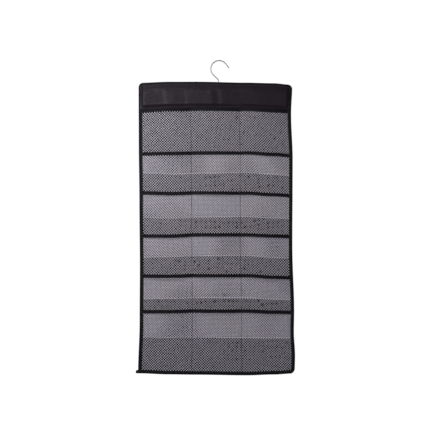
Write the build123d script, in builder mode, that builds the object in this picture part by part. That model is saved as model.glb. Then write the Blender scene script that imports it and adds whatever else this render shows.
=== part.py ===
"""Hanging shoe organizer: a black cloth panel of mesh pockets that hangs from a swivelling wire hook.

Millimetres. The origin is the hook's seat, where it rests on a rod. X runs across the panel, the front
faces -Y, and Z is up.
"""

import os
from math import cos, radians, sin, tan

from build123d import *

# ---------------------------------------------------------------- driving dimensions

# Wire hook
WIRE_DIAMETER = 3.0
TIP_ROUNDING = 1.2
HOOK_RADIUS = 24.2  # wire centreline
HOOK_TIP_ANGLE = 38.0  # where the arc runs out into the straight tip
HOOK_TIP_LENGTH = 16.0
HOOK_NECK_ANGLE = 226.0  # where the arc runs out towards the neck
NECK_X = -2.0
NECK_BEND_RADIUS = 7.0

# Cloth panel
PANEL_CENTRE_X = -10.0
PANEL_WIDTH = 450.0
PANEL_TOP = -63.0
PANEL_HEIGHT = 845.0
HEADER_HEIGHT = 71.0
CORNER_RADIUS = 12.0
FOOT_RADIUS = 8.0  # the lower right corner; the lower left one is square
BACKING_THICKNESS = 1.0
HEADER_THICKNESS = 0.6
POUCH_CLEARANCE = 0.2  # between the boss and the cloth on either side
POUCH_DROP = 2.0  # boss's foot to the level where the header starts to come in
FLANGE_HEIGHT = 7.0  # the header's foot that lies flat on the backing

# Rows of pockets
ROW_DROPS = (72.0, 199.0, 313.0, 434.5, 551.0, 657.0)  # panel's top to each row's top, sewn unevenly
POCKET_HEIGHT = 187.4
COLUMNS = 3
SEAM_FLAT = 1.8  # pressed flat along each divider
MESH_THICKNESS = 0.7
MOUTH_DEPTH = 16.0  # how far an empty pocket gapes at its mouth
KNEE_DEPTH = 3.0  # how far it stands out where the next row covers it
KNEE_SHARE = 0.44  # the share of the height that the next row covers
MIN_DEPTH = 0.3  # left at the bottom seam
TOP_SEAT = 2.2  # the top of a strip lies on the strip above, so it stands this far off the backing

# Tapes, threads and the gaps between layers
TAPE_WIDTH = 10.0
TAPE_THICKNESS = 0.5
HEM_WIDTH = 9.6
HEM_THICKNESS = 0.4
HEADER_TAPE_WIDTH = 4.0
TAPE_TAIL = 7.0  # the bottom tape's loose end, past the left edge
TAIL_HEIGHT = 8.0
TAIL_THICKNESS = 2.0
THREAD_WIDTH = 0.8
THREAD_THICKNESS = 0.25
STITCH_INSET = 2.0  # from a tape's inner edge to its thread
SEAM_INSET = 3.0  # from a sheet's sewn edge to its thread
HEADER_STITCH_INSET = 6.5
LAYER_GAP = 0.1
SKIN_GAP = 0.05
SEAM_END_GAP = 1.6  # edge stitches of the header to the ends of its lower seam
FOOT_SEAM_END = 20.0  # panel's edges to the ends of the bottom tape's seam
THREAD_END_GAP = 1.0  # between a stretch of divider thread and the hems it meets
CUT_SHARE = 0.01  # how far a hem's slot runs past its foot, as a share of the height
THROUGH = 20.0  # more than the whole depth of the cloth, for cuts that go right through

# Hanger bar inside the header
BAR_LENGTH = 416.0
BAR_HEIGHT = 21.0
BAR_THICKNESS = 2.4
BAR_RIB_THICKNESS = 4.4
BAR_RIB_HEIGHT = 2.0
BAR_CORNER_RADIUS = 6.0
BAR_DROP = 4.6  # panel's top to the bar's top
BOSS_WIDTH = 14.0
BOSS_DEPTH = 6.4
BOSS_HEIGHT = 36.0
BOSS_EDGE_RADIUS = 1.2

# Swivel of the hook in the bar
SWIVEL_CLEARANCE = 0.05
BUSH_RADIUS = 2.5
BUSH_LENGTH = 8.0
BUSH_FLANGE_RADIUS = 3.1
BUSH_FLANGE_THICKNESS = 0.6
BUSH_SEAT_GAP = 0.02
NECK_HOLE_RADIUS = 1.8
HEADER_HOLE_RADIUS = 2.0
WINDOW_WIDTH = 8.0
WINDOW_HEIGHT = 7.0
WINDOW_DROP = 11.4  # boss top to the window that holds the neck's head
WASHER_RADIUS = 2.8
WASHER_THICKNESS = 0.6
HEAD_RADIUS = 2.5
HEAD_HEIGHT = 2.0
HEAD_CHAMFER = 0.5

# ---------------------------------------------------------------- derived places

WIRE_RADIUS = WIRE_DIAMETER / 2
HOOK_CENTRE_Z = WIRE_RADIUS - HOOK_RADIUS
PANEL_LEFT = PANEL_CENTRE_X - PANEL_WIDTH / 2
PANEL_RIGHT = PANEL_CENTRE_X + PANEL_WIDTH / 2
PANEL_BOTTOM = PANEL_TOP - PANEL_HEIGHT
HEADER_BOTTOM = PANEL_TOP - HEADER_HEIGHT
SHEET_MARGIN = TAPE_THICKNESS + LAYER_GAP  # from the panel's edge to a sheet's edge, inside the tape
POCKETS_LEFT = PANEL_LEFT + TAPE_WIDTH
POCKETS_RIGHT = PANEL_RIGHT - TAPE_WIDTH
POCKET_WIDTH = (POCKETS_RIGHT - POCKETS_LEFT) / COLUMNS

BACKING_Y = BOSS_DEPTH / 2 + POUCH_CLEARANCE  # front face of the backing
BACK_Y = BACKING_Y + BACKING_THICKNESS
HEADER_FRONT_Y = -BACKING_Y - HEADER_THICKNESS
FLANGE_FRONT_Y = BACKING_Y - LAYER_GAP - HEADER_THICKNESS
HEADER_KNEE_Z = PANEL_TOP - BAR_DROP - BOSS_HEIGHT - POUCH_DROP  # the pouch narrows from here down
HEADER_FLANGE_Z = HEADER_BOTTOM + FLANGE_HEIGHT

BAR_TOP = PANEL_TOP - BAR_DROP
BAR_BOTTOM = BAR_TOP - BAR_HEIGHT
WINDOW_TOP = BAR_TOP - WINDOW_DROP
WASHER_TOP = WINDOW_TOP - SWIVEL_CLEARANCE
HEAD_TOP = WASHER_TOP - WASHER_THICKNESS
HEAD_BOTTOM = HEAD_TOP - HEAD_HEIGHT

# Depths into a strip's layers, counted forwards from the strip's back face
HEM_BACK = -SKIN_GAP - HEM_THICKNESS
HEM_FRONT = MESH_THICKNESS + SKIN_GAP + HEM_THICKNESS

TAPE_INNER_Y = BACKING_Y - LAYER_GAP - TOP_SEAT - HEM_FRONT - SKIN_GAP
TAPE_FRONT_Y = TAPE_INNER_Y - TAPE_THICKNESS
TAPE_INNER_BACK_Y = BACK_Y + LAYER_GAP
TAPE_BACK_Y = TAPE_INNER_BACK_Y + TAPE_THICKNESS


# ---------------------------------------------------------------- shared shapes


def finish(part, name):
    """Label a finished piece and write it."""
    part.label = name
    export_step(part, f"parts/{name}.step")


def facing(y):
    """The plane of a sheet that faces the front at a depth y."""
    return Plane.XZ.offset(-y)


def panel_outline(plane, grow, bottom):
    """The panel's outline from its rounded top corners down to a level, grown by a distance."""
    with BuildSketch(plane) as outline:
        with BuildLine():
            Polyline(
                (PANEL_LEFT - grow, PANEL_TOP + grow),
                (PANEL_LEFT - grow, bottom),
                (PANEL_RIGHT + grow, bottom),
                (PANEL_RIGHT + grow, PANEL_TOP + grow),
                close=True,
            )
        make_face()
        fillet(outline.vertices().group_by(Axis.Y)[-1], CORNER_RADIUS + grow)
    return outline.sketch


def pouch_section(grow):
    """End view of the header's pouch, grown forwards and backwards by a distance."""
    with BuildSketch(Plane.YZ.offset(PANEL_LEFT)) as section:
        with BuildLine():
            Polyline(
                (HEADER_FRONT_Y - grow, PANEL_TOP),
                (HEADER_FRONT_Y - grow, HEADER_KNEE_Z),
                (FLANGE_FRONT_Y - grow, HEADER_FLANGE_Z),
                (FLANGE_FRONT_Y - grow, HEADER_BOTTOM),
                (BACK_Y + grow, HEADER_BOTTOM),
                (BACK_Y + grow, PANEL_TOP),
                close=True,
            )
        make_face()
    return section.sketch


def share_below(drop):
    """The share of a strip's height, from its bottom, at a drop below its top edge."""
    return 1 - drop / POCKET_HEIGHT


def seat_y(share):
    """Where a strip's back face lies where it is sewn down."""
    return BACKING_Y - LAYER_GAP - TOP_SEAT * share


def bow_depth(share):
    """How far a pocket bows out between its seams."""
    if share <= KNEE_SHARE:
        return MIN_DEPTH + (KNEE_DEPTH - MIN_DEPTH) * share / KNEE_SHARE
    return KNEE_DEPTH + (MOUTH_DEPTH - KNEE_DEPTH) * (share - KNEE_SHARE) / (1 - KNEE_SHARE)


def bowed_edge(y, depth, margin):
    """A strip's face seen from above: an arc for each pocket, flat along the dividers and at both ends."""
    with BuildLine(mode=Mode.PRIVATE) as edge:
        start = (PANEL_LEFT + margin, y)
        for column in range(COLUMNS):
            low = POCKETS_LEFT + column * POCKET_WIDTH + SEAM_FLAT / 2
            high = low + POCKET_WIDTH - SEAM_FLAT
            Line(start, (low, y))
            ThreePointArc((low, y), ((low + high) / 2, y - depth), (high, y))
            start = (high, y)
        Line(start, (PANEL_RIGHT - margin, y))
    return edge.line


def layer_section(row_top, share, back, front, margin):
    """Level section of a strip's layer between two depths, counted forwards from the strip's back."""
    back_y = seat_y(share) - back
    front_y = seat_y(share) - front
    height = row_top - POCKET_HEIGHT * (1 - share)
    with BuildSketch(Plane.XY.offset(height)) as section:
        with BuildLine():
            add(bowed_edge(back_y, bow_depth(share), margin))
            add(bowed_edge(front_y, bow_depth(share), margin))
            for x in (PANEL_LEFT + margin, PANEL_RIGHT - margin):
                Line((x, back_y), (x, front_y))
        make_face()
    return section.sketch


def layer(row_top, shares, back, front, margin=SHEET_MARGIN):
    """A layer of a strip, straight between level sections, ending a margin inside the panel's edges."""
    sections = [layer_section(row_top, share, back, front, margin) for share in shares]
    return loft(sections, ruled=True, mode=Mode.PRIVATE)


os.makedirs("parts", exist_ok=True)

# ---------------------------------------------------------------- hook and its swivel


def on_hook(angle):
    """Point of the hook's arc at an angle, in the XZ plane."""
    return (HOOK_RADIUS * cos(radians(angle)), HOOK_CENTRE_Z + HOOK_RADIUS * sin(radians(angle)))


neck_run_start = on_hook(HOOK_NECK_ANGLE)
neck_slope = -1 / tan(radians(HOOK_NECK_ANGLE))
neck_corner_z = neck_run_start[1] + (NECK_X - neck_run_start[0]) * neck_slope
tip_start = on_hook(HOOK_TIP_ANGLE)
tip_end = (
    tip_start[0] + HOOK_TIP_LENGTH * sin(radians(HOOK_TIP_ANGLE)),
    tip_start[1] - HOOK_TIP_LENGTH * cos(radians(HOOK_TIP_ANGLE)),
)

with BuildPart() as hook:
    with BuildLine(Plane.XZ) as wire_path:
        FilletPolyline(
            (NECK_X, HEAD_BOTTOM), (NECK_X, neck_corner_z), neck_run_start, radius=NECK_BEND_RADIUS
        )
        ThreePointArc(neck_run_start, (0, WIRE_RADIUS), tip_start)
        Line(tip_start, tip_end)
    with BuildSketch(Plane.XY.offset(HEAD_BOTTOM)):
        with Locations((NECK_X, 0)):
            Circle(WIRE_RADIUS)
    sweep(path=wire_path.line)
    fillet(hook.faces().sort_by(Axis.X)[-1].edges(), TIP_ROUNDING)
    with BuildSketch(Plane.XY.offset(HEAD_BOTTOM)):
        with Locations((NECK_X, 0)):
            Circle(HEAD_RADIUS)
    extrude(amount=HEAD_HEIGHT)
    chamfer(hook.edges().filter_by(GeomType.CIRCLE).sort_by(Axis.Z)[0], HEAD_CHAMFER)
finish(hook.part, "hook")

with BuildPart() as neck_washer:
    with BuildSketch(Plane.XY.offset(HEAD_TOP)):
        with Locations((NECK_X, 0)):
            Circle(WASHER_RADIUS)
            Circle(WIRE_RADIUS + SWIVEL_CLEARANCE, mode=Mode.SUBTRACT)
    extrude(amount=WASHER_THICKNESS)
finish(neck_washer.part, "neck_washer")

with BuildPart() as swivel_bush:
    with BuildSketch(Plane.XY.offset(BAR_TOP)):
        with Locations((NECK_X, 0)):
            Circle(BUSH_RADIUS)
    extrude(amount=-BUSH_LENGTH)
    with BuildSketch(Plane.XY.offset(BAR_TOP)):
        with Locations((NECK_X, 0)):
            Circle(BUSH_FLANGE_RADIUS)
    extrude(amount=BUSH_FLANGE_THICKNESS)
    with BuildSketch(Plane.XY.offset(BAR_TOP)):
        with Locations((NECK_X, 0)):
            Circle(WIRE_RADIUS + SWIVEL_CLEARANCE)
    extrude(amount=BUSH_LENGTH, both=True, mode=Mode.SUBTRACT)
finish(swivel_bush.part, "swivel_bush")

# The bar is a ribbed strip. Its boss takes the bush from above, and a window across the boss holds the
# neck's head and washer.
with BuildPart() as hanger_bar:
    with BuildSketch(Plane.XZ):
        with Locations((PANEL_CENTRE_X, (BAR_TOP + BAR_BOTTOM) / 2)):
            RectangleRounded(BAR_LENGTH, BAR_HEIGHT, BAR_CORNER_RADIUS)
    extrude(amount=BAR_THICKNESS / 2, both=True)
    with BuildSketch(Plane.XZ):
        for rib_z in (BAR_TOP - BAR_RIB_HEIGHT / 2, BAR_BOTTOM + BAR_RIB_HEIGHT / 2):
            with Locations((PANEL_CENTRE_X, rib_z)):
                Rectangle(BAR_LENGTH - 2 * BAR_CORNER_RADIUS, BAR_RIB_HEIGHT)
    extrude(amount=BAR_RIB_THICKNESS / 2, both=True)
    with BuildSketch(Plane.XY.offset(BAR_TOP)):
        with Locations((NECK_X, 0)):
            RectangleRounded(BOSS_WIDTH, BOSS_DEPTH, BOSS_EDGE_RADIUS)
    extrude(amount=-BOSS_HEIGHT)
    for hole_radius, hole_depth in (
        (BUSH_RADIUS + BUSH_SEAT_GAP, BUSH_LENGTH),
        (NECK_HOLE_RADIUS, WINDOW_DROP),
    ):
        with BuildSketch(Plane.XY.offset(BAR_TOP)):
            with Locations((NECK_X, 0)):
                Circle(hole_radius)
        extrude(amount=-hole_depth, mode=Mode.SUBTRACT)
    with BuildSketch(Plane.XZ):
        with Locations((NECK_X, WINDOW_TOP - WINDOW_HEIGHT / 2)):
            Rectangle(WINDOW_WIDTH, WINDOW_HEIGHT)
    extrude(amount=BOSS_DEPTH, both=True, mode=Mode.SUBTRACT)
finish(hanger_bar.part, "hanger_bar")

# ---------------------------------------------------------------- backing and header

with BuildPart() as backing_panel:
    backing_face = panel_outline(facing(BACKING_Y), -SHEET_MARGIN, PANEL_BOTTOM + SHEET_MARGIN)
    extrude(backing_face, amount=-BACKING_THICKNESS)
    foot = backing_panel.edges().filter_by(Axis.Y).group_by(Axis.Z)[0].sort_by(Axis.X)[-1]
    fillet(foot, FOOT_RADIUS - SHEET_MARGIN)
finish(backing_panel.part, "backing_panel")

# The header's front stands clear of the boss, then comes in to a flange that is sewn to the backing.
with BuildPart() as header_front:
    extrude(pouch_section(0), amount=PANEL_WIDTH)
    extrude(pouch_section(-HEADER_THICKNESS), amount=PANEL_WIDTH, mode=Mode.SUBTRACT)
    front_face = panel_outline(facing(BACKING_Y - LAYER_GAP), -SHEET_MARGIN, HEADER_BOTTOM)
    extrude(front_face, amount=THROUGH, mode=Mode.INTERSECT)
finish(header_front.part, "header_front")

with BuildPart(mode=Mode.PRIVATE) as pouch_space:
    extrude(pouch_section(LAYER_GAP), amount=PANEL_WIDTH)
    inner_face = panel_outline(Plane.XZ, -TAPE_THICKNESS, HEADER_BOTTOM)
    extrude(inner_face, amount=THROUGH, both=True, mode=Mode.INTERSECT)

with BuildPart() as header_binding:
    extrude(pouch_section(LAYER_GAP + TAPE_THICKNESS), amount=PANEL_WIDTH)
    outer_face = panel_outline(Plane.XZ, 0, HEADER_BOTTOM)
    extrude(outer_face, amount=THROUGH, both=True, mode=Mode.INTERSECT)
    add(pouch_space.part, mode=Mode.SUBTRACT)
    window_face = panel_outline(Plane.XZ, -HEADER_TAPE_WIDTH, HEADER_BOTTOM)
    extrude(window_face, amount=THROUGH, both=True, mode=Mode.SUBTRACT)
    with BuildSketch(Plane.XY.offset(PANEL_TOP)):
        with Locations((NECK_X, 0)):
            Circle(HEADER_HOLE_RADIUS)
    extrude(amount=TAPE_THICKNESS * 2, both=True, mode=Mode.SUBTRACT)
finish(header_binding.part, "header_binding")

# Stitches run round the header inside its binding.
with BuildPart() as header_edge_stitching:
    extrude(pouch_section(SKIN_GAP + THREAD_THICKNESS), amount=PANEL_WIDTH)
    extrude(pouch_section(SKIN_GAP), amount=PANEL_WIDTH, mode=Mode.SUBTRACT)
    seam_outer = panel_outline(facing(BACKING_Y), -HEADER_STITCH_INSET, HEADER_BOTTOM)
    extrude(seam_outer, amount=THROUGH, mode=Mode.INTERSECT)
    seam_inner = panel_outline(facing(BACKING_Y), -HEADER_STITCH_INSET - THREAD_WIDTH, HEADER_BOTTOM)
    extrude(seam_inner, amount=THROUGH, mode=Mode.SUBTRACT)
finish(header_edge_stitching.part, "header_edge_stitching")

with BuildPart() as header_lower_seam:
    with BuildSketch(facing(FLANGE_FRONT_Y - SKIN_GAP)):
        with Locations((PANEL_CENTRE_X, HEADER_BOTTOM + SEAM_INSET)):
            Rectangle(PANEL_WIDTH - 2 * HEADER_STITCH_INSET - 2 * SEAM_END_GAP, THREAD_WIDTH)
    extrude(amount=THREAD_THICKNESS)
finish(header_lower_seam.part, "header_lower_seam")

# ---------------------------------------------------------------- edge tapes

with BuildPart() as side_binding_left:
    with BuildSketch(Plane.XY.offset(PANEL_BOTTOM + TAPE_WIDTH + LAYER_GAP)):
        with Locations((PANEL_LEFT, (TAPE_FRONT_Y + TAPE_BACK_Y) / 2)):
            Rectangle(TAPE_WIDTH, TAPE_BACK_Y - TAPE_FRONT_Y, align=(Align.MIN, Align.CENTER))
        with Locations((PANEL_LEFT + TAPE_THICKNESS, (TAPE_INNER_Y + TAPE_INNER_BACK_Y) / 2)):
            Rectangle(
                TAPE_WIDTH,
                TAPE_INNER_BACK_Y - TAPE_INNER_Y,
                align=(Align.MIN, Align.CENTER),
                mode=Mode.SUBTRACT,
            )
    extrude(amount=HEADER_BOTTOM - PANEL_BOTTOM - TAPE_WIDTH - 2 * LAYER_GAP)
finish(side_binding_left.part, "side_binding_left")

with BuildPart() as side_binding_right:
    mirror(side_binding_left.part, about=Plane.YZ.offset(PANEL_CENTRE_X))
finish(side_binding_right.part, "side_binding_right")

# The bottom tape is square at the left, where its end sticks out, and rounded at the right.
with BuildPart() as bottom_binding:
    for grow, y_front, y_back, mode in (
        (0, TAPE_FRONT_Y, TAPE_BACK_Y, Mode.ADD),
        (-TAPE_THICKNESS, TAPE_INNER_Y, TAPE_INNER_BACK_Y, Mode.SUBTRACT),
    ):
        with BuildSketch(facing(y_back)) as foot_face:
            with BuildLine():
                Polyline(
                    (PANEL_LEFT - grow, PANEL_BOTTOM + TAPE_WIDTH),
                    (PANEL_LEFT - grow, PANEL_BOTTOM - grow),
                    (PANEL_RIGHT + grow, PANEL_BOTTOM - grow),
                    (PANEL_RIGHT + grow, PANEL_BOTTOM + TAPE_WIDTH),
                    close=True,
                )
            make_face()
            fillet(foot_face.vertices().group_by(Axis.Y)[0].sort_by(Axis.X)[-1], FOOT_RADIUS + grow)
        extrude(amount=y_back - y_front, mode=mode)
    with BuildSketch(facing(BACKING_Y + TAIL_THICKNESS / 2)):
        with Locations((PANEL_LEFT, PANEL_BOTTOM)):
            Rectangle(TAPE_TAIL, TAIL_HEIGHT, align=(Align.MAX, Align.MIN))
    extrude(amount=TAIL_THICKNESS)
finish(bottom_binding.part, "bottom_binding")

with BuildPart() as binding_stitching:
    with BuildSketch(facing(TAPE_FRONT_Y - SKIN_GAP)):
        for stitch_x in (POCKETS_LEFT - STITCH_INSET, POCKETS_RIGHT + STITCH_INSET):
            with Locations((stitch_x, (HEADER_BOTTOM + PANEL_BOTTOM + TAPE_WIDTH) / 2)):
                Rectangle(THREAD_WIDTH, HEADER_BOTTOM - PANEL_BOTTOM - 2 * TAPE_WIDTH)
        with Locations((PANEL_CENTRE_X, PANEL_BOTTOM + TAPE_WIDTH - STITCH_INSET)):
            Rectangle(PANEL_WIDTH - 2 * FOOT_SEAM_END, THREAD_WIDTH)
    extrude(amount=THREAD_THICKNESS)
finish(binding_stitching.part, "binding_stitching")

# ---------------------------------------------------------------- rows of pockets

row_tops = [PANEL_TOP - drop for drop in ROW_DROPS]
hem_foot_share = share_below(HEM_WIDTH)
hem_top_share = share_below(-SKIN_GAP - HEM_THICKNESS)

for number, row_top in enumerate(row_tops, start=1):
    with BuildPart() as pocket_mesh:
        add(layer(row_top, (0, KNEE_SHARE, 1), 0, MESH_THICKNESS))
        if number == len(row_tops):
            foot = pocket_mesh.edges().filter_by(Axis.Y).group_by(Axis.Z)[0].sort_by(Axis.X)[-1]
            fillet(foot, FOOT_RADIUS - SHEET_MARGIN)
    finish(pocket_mesh.part, f"pocket_mesh_row_{number}")

    # Each hem is a tape folded over the strip's top edge.
    hem_slot = layer(
        row_top, (hem_foot_share - CUT_SHARE, share_below(-SKIN_GAP)), -SKIN_GAP, MESH_THICKNESS + SKIN_GAP
    )
    with BuildPart() as hem_tape:
        add(layer(row_top, (hem_foot_share, hem_top_share), HEM_BACK, HEM_FRONT))
        add(hem_slot, mode=Mode.SUBTRACT)
    finish(hem_tape.part, f"hem_tape_row_{number}")

# A line of thread along each hem's lower edge, between the side tapes.
hem_stitch_shares = (
    share_below(HEM_WIDTH - STITCH_INSET),
    share_below(HEM_WIDTH - STITCH_INSET - THREAD_WIDTH),
)
hem_thread = (HEM_FRONT + SKIN_GAP, HEM_FRONT + SKIN_GAP + THREAD_THICKNESS)
with BuildPart() as hem_stitching:
    for row_top in row_tops:
        add(layer(row_top, hem_stitch_shares, *hem_thread, margin=TAPE_WIDTH + LAYER_GAP))
finish(hem_stitching.part, "hem_stitching")

# A line of thread closes the bottom of every row but the last, whose bottom the tape closes.
bottom_seam_shares = (SEAM_INSET / POCKET_HEIGHT, (SEAM_INSET + THREAD_WIDTH) / POCKET_HEIGHT)
mesh_thread = (MESH_THICKNESS + SKIN_GAP, MESH_THICKNESS + SKIN_GAP + THREAD_THICKNESS)
with BuildPart() as pocket_bottom_seams:
    for row_top in row_tops[:-1]:
        add(layer(row_top, bottom_seam_shares, *mesh_thread))
finish(pocket_bottom_seams.part, "pocket_bottom_seams")


def divider_thread(row_top, low_share, high_share, depth):
    """Side view of a stretch of divider thread, lying at a depth in front of a strip's back face."""
    Polyline(
        (seat_y(low_share) - depth, row_top - POCKET_HEIGHT * (1 - low_share)),
        (seat_y(high_share) - depth, row_top - POCKET_HEIGHT * (1 - high_share)),
        (seat_y(high_share) - depth - THREAD_THICKNESS, row_top - POCKET_HEIGHT * (1 - high_share)),
        (seat_y(low_share) - depth - THREAD_THICKNESS, row_top - POCKET_HEIGHT * (1 - low_share)),
        close=True,
    )


# Each divider is one vertical line of stitches, over every hem and every visible stretch of mesh.
next_tops = row_tops[1:] + [PANEL_BOTTOM + TAPE_WIDTH]
for name, divider in (("divider_seam_left", 1), ("divider_seam_right", 2)):
    with BuildPart() as divider_seam:
        with BuildSketch(Plane.YZ.offset(POCKETS_LEFT + divider * POCKET_WIDTH - THREAD_WIDTH / 2)):
            for row_top, next_top in zip(row_tops, next_tops):
                mesh_foot_share = share_below(row_top - next_top - THREAD_END_GAP)
                mesh_top_share = hem_foot_share - THREAD_END_GAP / POCKET_HEIGHT
                for stretch in (
                    (mesh_foot_share, mesh_top_share, MESH_THICKNESS + SKIN_GAP),
                    (hem_foot_share, 1, HEM_FRONT + 2 * SKIN_GAP + THREAD_THICKNESS),
                ):
                    with BuildLine():
                        divider_thread(row_top, *stretch)
                    make_face()
        extrude(amount=THREAD_WIDTH)
    finish(divider_seam.part, name)
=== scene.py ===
"""Looks of the hanging shoe organizer, built round its CAD frame.

Metres, in the frame's axes: X runs across the panel, the front faces -Y and Z is up. Each cloth piece is
laid out true first, where the CAD has it, and then draped: shifted a few millimetres, as sewn cloth hangs.
"""

import math

import bmesh
import bpy
import numpy as np
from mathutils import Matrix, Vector


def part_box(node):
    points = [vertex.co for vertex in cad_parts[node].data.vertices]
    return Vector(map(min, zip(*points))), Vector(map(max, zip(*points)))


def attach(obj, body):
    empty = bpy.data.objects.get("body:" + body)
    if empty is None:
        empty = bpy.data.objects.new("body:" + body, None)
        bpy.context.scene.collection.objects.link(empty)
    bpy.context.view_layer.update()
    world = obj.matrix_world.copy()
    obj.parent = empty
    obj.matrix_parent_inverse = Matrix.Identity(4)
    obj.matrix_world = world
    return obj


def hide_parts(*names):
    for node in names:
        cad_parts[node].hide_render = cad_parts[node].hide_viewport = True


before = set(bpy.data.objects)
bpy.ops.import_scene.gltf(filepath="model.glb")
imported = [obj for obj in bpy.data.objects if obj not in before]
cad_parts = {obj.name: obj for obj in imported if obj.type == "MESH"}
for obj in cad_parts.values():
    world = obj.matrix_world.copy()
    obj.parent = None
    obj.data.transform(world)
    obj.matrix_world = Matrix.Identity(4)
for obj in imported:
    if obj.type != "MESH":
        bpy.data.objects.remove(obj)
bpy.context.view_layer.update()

MM = 0.001

# ---------------------------------------------------------------- places, from the frame

header_low, header_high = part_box("header_binding")
foot_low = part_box("bottom_binding")[0]
side_low, side_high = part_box("side_binding_left")
backing_low, backing_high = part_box("backing_panel")
bar_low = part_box("hanger_bar")[0]
bush_low, bush_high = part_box("swivel_bush")
hem_low, hem_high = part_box("hem_tape_row_1")

LEFT, RIGHT, TOP, BOTTOM = header_low.x, header_high.x, header_high.z, foot_low.z
TAIL_END = foot_low.x
HEADER_FOOT = header_low.z
TAPE_WIDTH = side_high.x - side_low.x
HEM_WIDTH = hem_high.z - hem_low.z
BACKING_FRONT, BACKING_BACK = backing_low.y, backing_high.y
CENTRE_X, HALF_WIDTH = (LEFT + RIGHT) / 2, (RIGHT - LEFT) / 2
NECK_X = (bush_low.x + bush_high.x) / 2

ROWS = [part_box(f"pocket_mesh_row_{number}") for number in range(1, 7)]
ROW_TOPS = [high.z for low, high in ROWS]
POCKET_HEIGHT = ROWS[0][1].z - ROWS[0][0].z
SEAM_XS = [sum(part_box(f"divider_seam_{side}"), Vector()).x / 2 for side in ("left", "right")]
POCKET_EDGES = [LEFT + TAPE_WIDTH, *SEAM_XS, RIGHT - TAPE_WIDTH]

# ---------------------------------------------------------------- sheets and tapes

SHEET_MARGIN = 1.0 * MM  # from the panel's edge to a sheet's edge, inside the tape
STRIP_MARGIN = 2.6 * MM  # to the ends of the strips and hems, which lie nearer the tape's front
STRIP_START, STRIP_END = LEFT + STRIP_MARGIN, RIGHT - STRIP_MARGIN
CORNER_RADIUS = 12 * MM
FOOT_RADIUS = 9.6 * MM
HEADER_THICKNESS = 0.6 * MM
CLEARANCE = 0.05 * MM
BACKING_POINTS, HEADER_POINTS = (160, 280), (340, 70)  # across and up
SHEET_CORNER_POINTS = 8  # more across at each side, closest at the edge

# A fold's roll is how far in from the edge it starts to turn, and its puff how far its faces arch up
TAPE_THICKNESS, TAPE_PUFF = 0.5 * MM, 0.3 * MM
SIDE_ROLL, FOOT_ROLL = 2.0 * MM, 1.6 * MM
HEM_THICKNESS, HEM_ROLL, HEM_PUFF = 0.4 * MM, 0.9 * MM, 0.7 * MM
HEADER_TAPE_WIDTH, HEADER_TAPE_ROLL, HEADER_TAPE_PUFF = 4 * MM, 1.8 * MM, 0.15 * MM
EDGE_BULGE = 0.7 * MM  # how far a binding's fold stands out past the panel's edge
TAPE_FLAT_WIDTHS = 2.5  # a tape's width before folding, in widths of one face of it
HEADER_TAPE_FLAT_WIDTHS = 3.3
TUCKED_UNDER = 0.3  # the share of the bottom tape's width that the side tapes reach down behind it
# The bottom tape stands off by the relief where it passes over a side tape, and its loose end is narrower
SIDE_TAPE_RELIEF, SIDE_TAPE_EASE = 0.9 * MM, 4 * MM
TAIL_NARROWER, TAIL_EASE = 1.5 * MM, 3 * MM
TAIL_IN_FRONT, TAIL_IN_BEHIND = 0.2 * MM, 0.3 * MM  # how far its two faces draw together
TAIL_MARGIN, TAIL_NARROWING = 1 * MM, 2 * MM
FACE_POINTS, TURN_POINTS = 8, 11  # across each face of a folded tape, and round its fold
HEM_POINTS, SIDE_POINTS, FOOT_POINTS = 190, 260, 150  # along each tape
CORNER_POINTS, FOOT_CORNER_POINTS = 13, 14  # round each upper corner, and round the lower right one
FOOT_CORNER_TURN = 88  # degrees, as the tape would have no width at 90
HEADER_TAPE_STEP = 3 * MM
NECK_HOLE_RADIUS, NECK_HOLE_DEPTH = 2.1 * MM, 30 * MM

# ---------------------------------------------------------------- pockets and mesh

TOP_SEAT = 2.2 * MM  # the top of a strip lies on the strip above, so it stands off the backing
MIN_DEPTH, KNEE_DEPTH, MOUTH_DEPTH = 0.3 * MM, 3 * MM, 16 * MM  # how far a pocket bows out
KNEE_SHARE = 0.44  # the share of a strip's height that the next row covers
MOUTH_CURL = 0.4  # how much of the bow above the knee comes close to the mouth
ABOVE_MOUTH = 1.2  # the highest share of the way from knee to mouth, as a hem's fold stands above it
SEAM_ROUNDING = 10 * MM  # how far from a seam a pocket's cloth comes up
FULLNESS, FULLNESS_SPREAD, LEAN_SPREAD = 0.8, 0.14, 0.2  # from pocket to pocket
UNEVENNESS, UNEVEN_LENGTH = 0.05, 0.09  # a share of the bow, and from crest to crest

PITCH = 7.48 * MM  # of the holes, along and up; one more hole lies in the middle of each four
HOLE_RADIUS = 2.64 * MM
RIM_ANGLES = np.radians(np.arange(22.5, 360, 45))
OCTAGON_AREA = 2 * math.sqrt(2)  # at a radius of 1
EDGE_SHARE = 0.72  # of half a pitch, from a strip's foot to its lowest holes' middles
STRETCH, STRETCH_LENGTH = 2.3 * MM, 0.42  # how far the cloth is pulled out of true, from crest to crest
CROSSING_HALF, BAR_HALF = 0.33 * MM, 0.24 * MM  # half the mesh's thickness where bars cross, and between

# Steps from a hole's middle to the eight points round it, and whether the point is the middle of a cell
AROUND_HOLE = (
    (1, 0, False),
    (0, 0, True),
    (0, 1, False),
    (-1, 0, True),
    (-1, 0, False),
    (-1, -1, True),
    (0, -1, False),
    (0, -1, True),
)

# ---------------------------------------------------------------- stitches

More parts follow.
